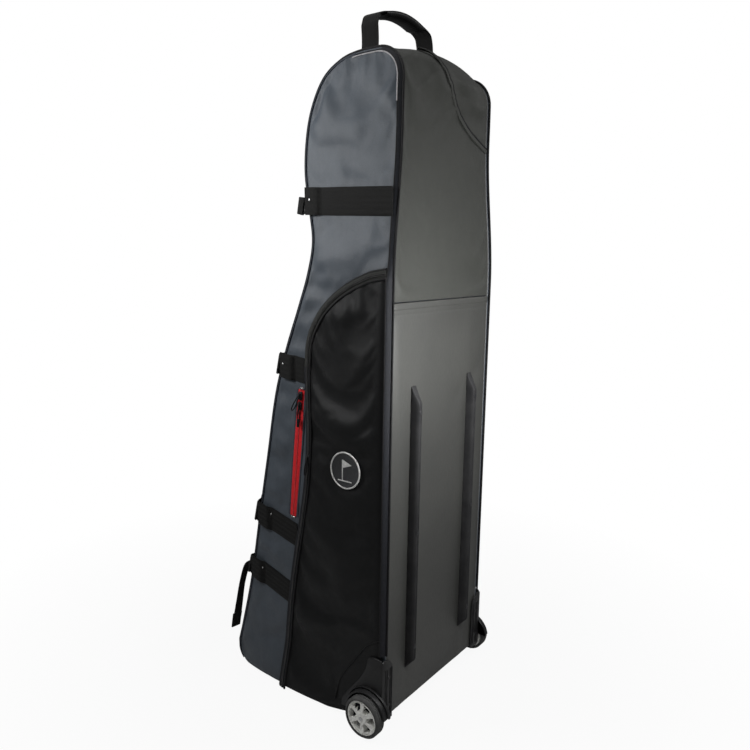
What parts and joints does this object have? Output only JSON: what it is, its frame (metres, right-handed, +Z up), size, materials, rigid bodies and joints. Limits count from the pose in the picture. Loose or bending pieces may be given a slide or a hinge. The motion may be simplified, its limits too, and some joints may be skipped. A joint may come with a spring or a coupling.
{
  "type": "golf travel case",
  "caption": "Tall soft wheeled travel case for a golf bag, with a domed hood, hinged front flap, side pockets, compression straps, back skid rails and a top handle.",
  "frame": {"origin": "centre of the bounding box's bottom face, on the floor", "axes": "+Z up, +Y towards the back with the skid rails, +X the side with the red zip"},
  "size_m": [0.41, 0.4431, 1.3084],
  "materials": {
    "slate_fabric": "woven nylon with a soft sheen",
    "olive_fabric": "woven nylon",
    "vinyl": "coated fabric with a fine grain",
    "black_nylon": "thin woven nylon with a sheen",
    "binding": "woven binding tape",
    "webbing": "ribbed webbing",
    "plastic": "moulded, fine texture",
    "tyre": "matt rubber",
    "hub": "silver paint",
    "steel": "turned",
    "red_zip": "coil zip",
    "foam": "padding",
    "board": "stiffening board",
    "patch": "woven patch"
  },
  "bodies": {
    "case": {"axle_left": "steel", "axle_right": "steel", "back_board": "board", "back_panel_lower": "vinyl", "back_panel_upper": "olive_fabric", "base_board": "board", "base_panel": "black_nylon", "buckle_socket_1_left": "plastic", "buckle_socket_1_right": "plastic", "buckle_socket_2_left": "plastic", "buckle_socket_2_right": "plastic", "buckle_socket_3_left": "plastic", "buckle_socket_3_right": "plastic", "buckle_socket_4_left": "plastic", "buckle_socket_4_right": "plastic", "crown_foam": "foam", "crown_panel": "olive_fabric", "inner_strap": "webbing", "label_patch": "patch", "piping_left": "binding", "piping_right": "binding", "rail_screw_1_left": "steel", "rail_screw_1_right": "steel", "rail_screw_2_left": "steel", "rail_screw_2_right": "steel", "rail_screw_3_left": "steel", "rail_screw_3_right": "steel", "red_zip_tape": "red_zip", "side_panel_left": "slate_fabric", "side_panel_right": "slate_fabric", "side_pocket_left": "black_nylon", "side_pocket_right": "black_nylon", "side_strap_1_left": "webbing", "side_strap_1_right": "webbing", "side_strap_2_left": "webbing", "side_strap_2_right": "webbing", "side_strap_3_left": "webbing", "side_strap_3_right": "webbing", "side_strap_4_left": "webbing", "side_strap_4_right": "webbing", "skid_rail_left": "plastic", "skid_rail_right": "plastic", "wheel_housing_left": "plastic", "wheel_housing_right": "plastic"},
    "flap": {"front_flap": "slate_fabric", "front_strap_1": "webbing", "front_strap_2": "webbing", "front_strap_3": "webbing", "front_strap_4": "webbing"},
    "tail": {"strap_tail": "webbing"},
    "handle": {"handle_webbing": "webbing", "handle_grip": "plastic"},
    "wheel_right": {"tyre_right": "tyre", "wheel_hub_right": "hub"},
    "wheel_left": {"tyre_left": "tyre", "wheel_hub_left": "hub"},
    "red_slider_upper": {"red_zip_slider_upper": "plastic"},
    "red_slider_lower": {"red_zip_slider_lower": "plastic"},
    "pocket_slider": {"pocket_zip_slider": "plastic"},
    "main_slider": {"main_zip_slider": "plastic"}
  },
  "joints": [
    {"name": "flap_hinge", "type": "hinge", "parent": "case", "child": "flap", "pos_m": [0, -0.1927, 0.047], "axis": [1, 0, 0], "range_deg": [0, 90]},
    {"name": "tail_swing", "type": "hinge", "parent": "flap", "child": "tail", "pos_m": [0.1545, -0.15651, 0.24113], "axis": [1, 0, 0], "range_deg": [-60, 0]},
    {"name": "handle_fold", "type": "hinge", "parent": "case", "child": "handle", "pos_m": [0, 0.087, 1.242], "axis": [1, 0, 0], "range_deg": [-45, 45]},
    {"name": "wheel_right_spin", "type": "hinge", "parent": "case", "child": "wheel_right", "pos_m": [0.19275, 0.174, 0.0395], "axis": [1, 0, 0], "continuous": true},
    {"name": "wheel_left_spin", "type": "hinge", "parent": "case", "child": "wheel_left", "pos_m": [-0.19275, 0.174, 0.0395], "axis": [1, 0, 0], "continuous": true},
    {"name": "red_slider_upper_slide", "type": "slide", "parent": "case", "child": "red_slider_upper", "axis": [0, -0.0933, -0.9956], "range_m": [-0.004, 0]},
    {"name": "red_slider_lower_slide", "type": "slide", "parent": "case", "child": "red_slider_lower", "axis": [0, -0.0933, -0.9956], "range_m": [0, 0.212]},
    {"name": "pocket_slider_slide", "type": "slide", "parent": "case", "child": "pocket_slider", "axis": [0, -0.1451, -0.9894], "range_m": [0, 0.32]},
    {"name": "main_slider_slide", "type": "slide", "parent": "case", "child": "main_slider", "axis": [0, -0.1874, -0.9823], "range_m": [0, 0.15]}
  ]
}
